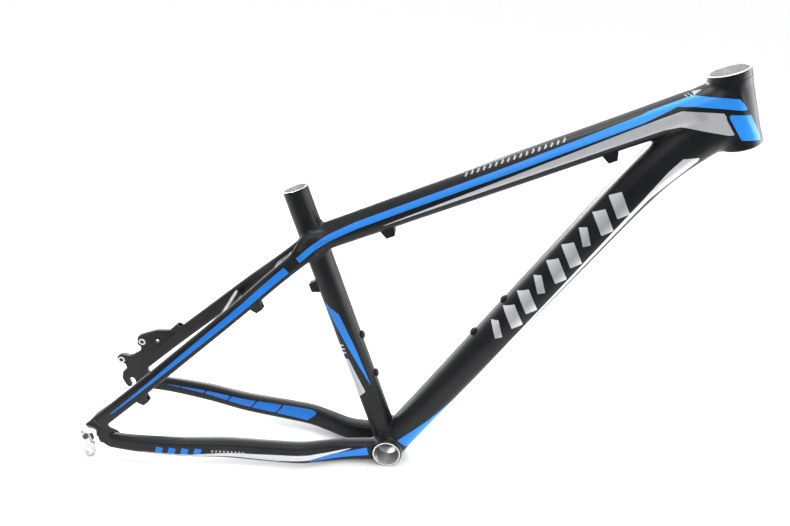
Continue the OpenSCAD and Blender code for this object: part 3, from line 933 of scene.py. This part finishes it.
# The blue stripe follows the top tube, turns level at the head and turns down on to the prongs
main_stripe = [
    *(on_top(-0.04, -0.55, 8), on_top(0, -0.2, 8), on_top(0.05, 0.05, 8), on_top(0.12, 0.2, 8)),
    *(on_top(0.5, 0.35, 8.5), on_top(0.8, 0.6, 9), by_head(-68, -9, 8), by_head(-50, -6, 12)),
    by_head(7, -8, 13),
]
head_stripe = [by_head(4, -20, 23), by_head(24, -50, 21)]
# The silver stops this far short of the blue on the head tube, and the blue stripe stays this far out
# from the middle of the top tube
SILVER_CLEAR, RIDGE_HALF = 3.5, 13
silver_band = [on_top(0.18, -0.4, 0.5), on_top(0.5, -0.25, 7), on_top(0.84, -0.05, 15)]
silver_panel = [
    *(on_top(0.8, -0.08, 13.8), on_top(0.84, -0.05, 15)),
    *(by_head(-60, -27, 19), by_head(-3, -32, 26)),
]
stay_stripe = [on_seatstay(0.08, 0, 1.5), on_seatstay(0.5, 0, 7), on_seatstay(0.97, 0, 10)]
top_bars = [
    [on_top(share, 0.8, 1.8), on_top(share + 0.007, 0.96, 1.8)] for share in np.linspace(0.4, 0.63, 17)
]


def arrow_marks():
    """A triangle and two slashes behind the head tube, seen from above as (x, distance from the middle)."""
    x = head_joint[0]
    slashes = [[(x - back, 4, 1.4), (x - back + 3, 15, 1.4)] for back in (54, 58)]
    return [[(x - 49, 3, 1), (x - 44, 11, 12)], *slashes]


# Along the down tube and up from its middle, in millimetres
down_len = down_keys[4][0] / down_dir[0]
down_half = 24


def on_down(share, lift, width):
    return share * down_len, lift * down_half, width


# The blue foot, and the silver line along the underside that ends in a flare behind the head tube
down_foot = [on_down(0.04, -0.45, 28), on_down(0.14, -0.72, 18), on_down(0.25, -0.78, 1)]
down_line = [
    *(on_down(0.25, -0.85, 1), on_down(0.5, -0.74, 3), on_down(0.85, -0.64, 4.5)),
    on_down(1.04, -0.6, 6),
]
down_flare = [on_down(1.02, -0.6, 6), on_down(1.1, -0.7, 14), on_down(1.16, -0.85, 16)]


def down_bars():
    """Nine slanted bars in place of the name. Every third one is narrower and shorter."""
    bars = []
    for k, share in enumerate(np.linspace(0.49, 0.95, 9)):
        low, width = (0, 10) if k % 3 == 0 else (-0.35, 16)
        bars.append([on_down(share, low, width), on_down(share + 0.03, 0.8, width)])
    return bars


# Round the seat tube from its side towards the front, and up it, in millimetres
def on_seat(arc, share, width):
    return arc, share * seat_len, width


seat_blade = [on_seat(-14, 0.6, 3), on_seat(-5, 0.55, 13), on_seat(2, 0.42, 9), on_seat(9, 0.26, 0.5)]
seat_panel = [on_seat(-16, 0.38, 14), on_seat(-11, 0.23, 20)]
seat_bars = [
    [on_seat(-22, share, 2.4), on_seat(-9, share + 0.007, 2.4)] for share in (0.4, 0.415, 0.43)
]

# One degree round a chainstay, in millimetres
DEGREE = 0.25
# Along a chainstay in shares from its rear end, and round it from its outer side over the top in degrees
stay_len = -chainstay_rear[0]


def on_chainstay(share, degrees, width):
    return (share - 1) * stay_len, degrees * DEGREE, width


stay_silver = [
    *(on_chainstay(0.12, -48, 1), on_chainstay(0.3, -45, 3), on_chainstay(0.45, -28, 8)),
    *(on_chainstay(0.6, -24, 13), on_chainstay(0.72, -15, 12), on_chainstay(0.87, 38, 0.5)),
]
stay_blue = [on_chainstay(0.72, -50, 1), on_chainstay(0.8, -18, 9), on_chainstay(0.93, 12, 15)]
stay_bars = [
    [on_chainstay(share, -42, 9.5), on_chainstay(share + 0.01, 18, 9.5)]
    for share in (0.18, 0.225, 0.27, 0.315)
]
stay_marks = [
    [on_chainstay(share, -15, 2.4), on_chainstay(share + 0.004, 8, 2.4)]
    for share in np.linspace(0.37, 0.48, 9)
]
inner_panel = [on_chainstay(0.08, 155, 1), on_chainstay(0.4, 162, 14), on_chainstay(0.69, 168, 24)]
inner_lines = [
    [on_chainstay(share + 0.025, 110, 2.2), on_chainstay(share - 0.025, 235, 2.2)]
    for share in np.linspace(0.13, 0.55, 5)
]


def dress_head_tube(piece):
    p = vertices(piece)
    heights, radii = head.height_and_radius(p)
    set_field(piece, "turn", heights + radii)
    outer = np.where(radii > cup_r + 1.2, MOST, NO_DECAL)
    blue, silver = head_decals(p)
    dress(piece, np.minimum(blue, outer), np.minimum(silver, outer), sheen=head_sheen(p))


def head_decals(p):
    """The blue and the silver fields that cross from the top tube on to its neighbours."""
    flat = side_view(p)
    clear_of_ridge = np.abs(p[:, 1]) - RIDGE_HALF
    stripe = np.minimum(ribbon(flat, main_stripe, (0, 1.1)), clear_of_ridge)
    on_head = ribbon(flat, head_stripe, (-0.65, -0.65))
    silver = np.maximum(ribbon(flat, silver_band), ribbon(flat, silver_panel, (0, 1.0)))
    return np.maximum(stripe, on_head), np.minimum(silver, -on_head - SILVER_CLEAR)


def head_sheen(p):
    """Painted reflection on the silver: darker along a slanted line behind the head tube."""
    past = p[:, 0] - head_joint[0] + 35 + 0.8 * (p[:, 2] - head_joint[2] + 27)
    return 0.72 - 0.3 * np.exp(-((past / 9) ** 2))


def dress_top_tube(piece):
    p = vertices(piece)
    flat = np.stack([p[:, 0], np.abs(p[:, 1])], axis=1)
    on_upper_side = np.where((p - seat_joint) @ top_up > 0, MOST, NO_DECAL)
    marks = np.minimum(ribbons(flat, arrow_marks()), on_upper_side)
    blue, silver = head_decals(p)
    dress(piece, blue, silver, np.maximum(marks, ribbons(side_view(p), top_bars)), head_sheen(p))


def dress_down_tube(piece):
    p = vertices(piece)
    along, lift = (p - down_start) @ down_dir, (p - down_start) @ down_up
    flat = np.stack([along, lift], axis=1)
    # Painted reflection on the silver: dark along a line 3 mm above the tube's middle and lighter away from
    # it, light under the tube and even near the head
    shine = 0.30 + 0.62 * np.abs(np.clip((lift - 3) / 15, -1, 1))
    shine = np.where(lift < -9.6, 0.85, shine)
    shine = np.where(p[:, 2] > 460, 0.7, shine)
    blue, silver = head_decals(p)
    own = np.maximum(ribbons(flat, [down_line, *down_bars()]), ribbon(flat, down_flare, (0, 1.1)))
    dress(piece, np.maximum(blue, ribbon(flat, down_foot)), np.maximum(silver, own), sheen=shine)


def dress_seat_tube(piece):
    p = vertices(piece)
    heights, radii = seat.height_and_radius(p)
    front = np.cross([0, 1, 0], seat_dir)
    flat = np.stack([seat_r * np.arctan2(p @ front, np.abs(p[:, 1])), heights], axis=1)
    outer = np.where(radii > seat_r - 0.5, MOST, NO_DECAL)
    set_field(piece, "turn", heights + radii)
    blue = np.maximum(ribbon(flat, seat_blade), ribbon(side_view(p), main_stripe))
    silver = np.maximum(ribbon(flat, seat_panel, (0, 0.5)), ribbons(flat, seat_bars))
    # The seat tube's silver gets one even painted sheen
    dress(piece, np.minimum(blue, outer), np.minimum(silver, outer), sheen=0.6)


def dress_stay(piece, loft, outward, kind):
    p = vertices(piece)
    t, _ = loft.nearest(p)
    _, side, up = loft.frame_at(t)
    gap = p - spline(loft.keys, t)[:, :3]
    round_it = np.degrees(np.arctan2((gap * up).sum(1), (gap * side).sum(1) * outward))
    if kind == "seatstay":
        stripe = np.minimum(ribbon(side_view(p), stay_stripe), (90 - np.abs(round_it)) * DEGREE)
        dress(piece, stripe)
        return
    outer = np.stack([p[:, 0], round_it * DEGREE], axis=1)
    inner = np.stack([p[:, 0], round_it % 360 * DEGREE], axis=1)
    panel = np.minimum(ribbon(inner, inner_panel, (0, 0.7)), -ribbons(inner, inner_lines))
    blue = np.maximum(panel, ribbons(outer, [stay_blue, *stay_bars]))
    silver = np.minimum(ribbon(outer, stay_silver), -ribbon(outer, stay_blue) - 1)
    # The chainstay's silver gets a lighter even painted sheen
    dress(piece, blue, silver, ribbons(outer, stay_marks), 0.85)


dress_head_tube(head_tube)
dress_top_tube(top_tube)
dress_down_tube(down_tube)
dress_seat_tube(seat_tube)
for (kind, side), piece in stay_pieces.items():
    outward = 1 if side == "left" else -1
    dress_stay(piece, (chainstays if kind == "chainstay" else seatstays)[side], outward, kind)
for piece in prong_pieces.values():
    dress(piece, ribbon(side_view(vertices(piece)), main_stripe))
shell_points = vertices(bottom_bracket)
set_field(bottom_bracket, "turn", np.hypot(shell_points[:, 0], shell_points[:, 2]) + shell_points[:, 1])

# ---------- Small parts, kept from the CAD model and softened ----------


def soften(node, material, width=0.5):
    """Rounds a CAD node's edges with modifiers and gives it its material."""
    piece = frame["nodes"][node]
    piece.data.shade_smooth()
    piece.data.materials.clear()
    piece.data.materials.append(material)
    weld = piece.modifiers.new("weld", "WELD")
    weld.merge_threshold = 1e-6
    bevel = piece.modifiers.new("bevel", "BEVEL")
    bevel.width, bevel.segments, bevel.limit_method = width * MM, 3, "ANGLE"
    bevel.angle_limit = math.radians(32)
    even = piece.modifiers.new("even", "WEIGHTED_NORMAL")
    even.keep_sharp = True


soften("dropout_left", coat, 0.9)
soften("dropout_right", coat, 0.9)
soften("derailleur_hanger", tumbled, 0.8)
soften("hanger_bolt", steel, 0.35)


def make_bushes():
    """Two bushes with faced silver flanges and dark bores."""
    columns, bore, flange, half = steps(72), 3.05, 5.5, dropout_t / 2 + 1
    low, high = (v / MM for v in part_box("disc_mount_bushes"))
    middle = np.array(mounts["disc_brake_mount"]["pos_m"]) / MM
    profile = [
        *((-half + 0.5, bore), (-half, bore + 0.35), (-half, flange - 0.3), (-half + 0.3, flange)),
        *((-dropout_t / 2, flange), (dropout_t / 2, flange), (half - 0.3, flange), (half, flange - 0.3)),
        *((half, bore + 0.35), (half - 0.5, bore), (-half + 0.5, bore)),
    ]
    points, faces, slots = [], [], []
    for x, z in ((low[0] + flange, low[2] + flange), (high[0] - flange, high[2] - flange)):
        axis = Pipe([x, middle[1], z], [0, 1, 0], [(-half, bore), (half, bore)])
        grid, quads = revolve(axis, profile, columns)
        rows = np.repeat(np.arange(len(profile) - 1), columns)
        slots += [1 if r == len(profile) - 2 else 0 for r in rows]
        faces += [tuple(q + len(points)) for q in quads]
        points += list(grid.reshape(-1, 3))
    materials = [tumbled, inside]
    return make_piece("disc_mount_bushes", points, faces, materials, slots, crease=25)


make_bushes()
soften("seatstay_gusset", coat, 0.8)
soften("seatstay_bridge", coat, 0.4)
for node in frame["nodes"]:
    if "guide" in node:
        soften(node, matt, 0.8)
    if "boss" in node:
        soften(node, matt, 0.5)

# ---------- Stage ----------

# The frame stands on its shell, and the floor slopes to pass just under its hanger. This far in front of
# the hanger's rear end, the floor is as high as the hanger's lowest point.
under_hanger_m = 0.002
# The floor's reach to the sides and the back, and its front edge
reach_m, front_m = 14.0, -0.5
floor = bpy.data.meshes.new("floor")
hanger_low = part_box("derailleur_hanger")[0]
shell_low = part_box("bottom_bracket_shell")[0].z
rise = (hanger_low.z - shell_low) / (hanger_low.x + under_hanger_m)
floor.from_pydata(
    [
        (x, y, shell_low + rise * x)
        for x, y in ((-reach_m, front_m), (reach_m, front_m), (reach_m, reach_m), (-reach_m, reach_m))
    ],
    [],
    [(0, 1, 2, 3)],
)
floor_object = bpy.data.objects.new("floor", floor)
bpy.context.scene.collection.objects.link(floor_object)
floor_shader = Shader("floor_white")
floor_shader.set(Roughness=0.6)
floor_tone = floor_shader.mix(floor_shader.noise(3.0), (0.89, 0.89, 0.89, 1), (0.90, 0.90, 0.90, 1))
floor.materials.append(floor_shader.feed(Base_Color=floor_tone))

# A bright studio behind and above, and a dark room in front of and below the camera
world = bpy.data.worlds.new("studio")
bpy.context.scene.world = world
world.use_nodes = True
sky = world.node_tree
direction = sky.nodes.new("ShaderNodeTexCoord").outputs["Generated"]
split = sky.nodes.new("ShaderNodeSeparateXYZ")
sky.links.new(direction, split.inputs[0])
raised = sky.nodes.new("ShaderNodeMath")
raised.operation = "MULTIPLY_ADD"
sky.links.new(split.outputs[1], raised.inputs[0])
raised.inputs[1].default_value = 0.5
sky.links.new(split.outputs[2], raised.inputs[2])
# From direction to brightness: from -0.15 at 0.07 to 0.45 at 1.2
bright = sky.nodes.new("ShaderNodeMapRange")
sky.links.new(raised.outputs[0], bright.inputs[0])
for k, value in enumerate((-0.15, 0.45, 0.07, 1.2)):
    bright.inputs[k + 1].default_value = value
backdrop = sky.nodes["Background"]
backdrop.inputs[0].default_value = (1, 1, 1, 1)
sky.links.new(bright.outputs[0], backdrop.inputs[1])
bpy.context.scene.view_settings.view_transform = "Standard"


def softbox(name, place, target, width, height, watts):
    light = bpy.data.lights.new(name, "AREA")
    light.shape, light.size, light.size_y, light.energy = "RECTANGLE", width, height, watts
    lamp = bpy.data.objects.new(name, light)
    lamp.location = place
    lamp.rotation_euler = (Vector(target) - Vector(place)).to_track_quat("-Z", "Y").to_euler()
    bpy.context.scene.collection.objects.link(lamp)


softbox("softbox_top", (0.1, 0.3, 2.2), (0, 0, 0.2), 1.8, 1.2, 34)
softbox("softbox_back", (-1.1, 2.9, 1.15), (-0.1, 0, 0.35), 1.3, 1.0, 90)
softbox("softbox_right", (1.75, 0.1, 0.25), (0.4, 0, 0.45), 1.5, 1.1, 42)
softbox("softbox_front", (0.1, -2.6, 1.9), (0, 0, 0.2), 2.2, 1.2, 36)

# The camera stands in front of the drive side and looks down on it, turned a little to the left
camera = bpy.data.cameras.new("camera")
camera.lens, camera.sensor_width = 34.94, 36
camera_object = bpy.data.objects.new("camera", camera)
bpy.context.scene.collection.objects.link(camera_object)
camera_object.location = (0.0807, -0.9391, 0.7051)
yaw, down_by, roll = math.radians(4.43), math.radians(23.79), math.radians(0.448)
looking = Matrix.Rotation(yaw, 3, "Z") @ Matrix.Rotation(math.pi / 2 - down_by, 3, "X")
camera_object.rotation_euler = (looking @ Matrix.Rotation(roll, 3, "Z")).to_euler()
bpy.context.scene.camera = camera_object
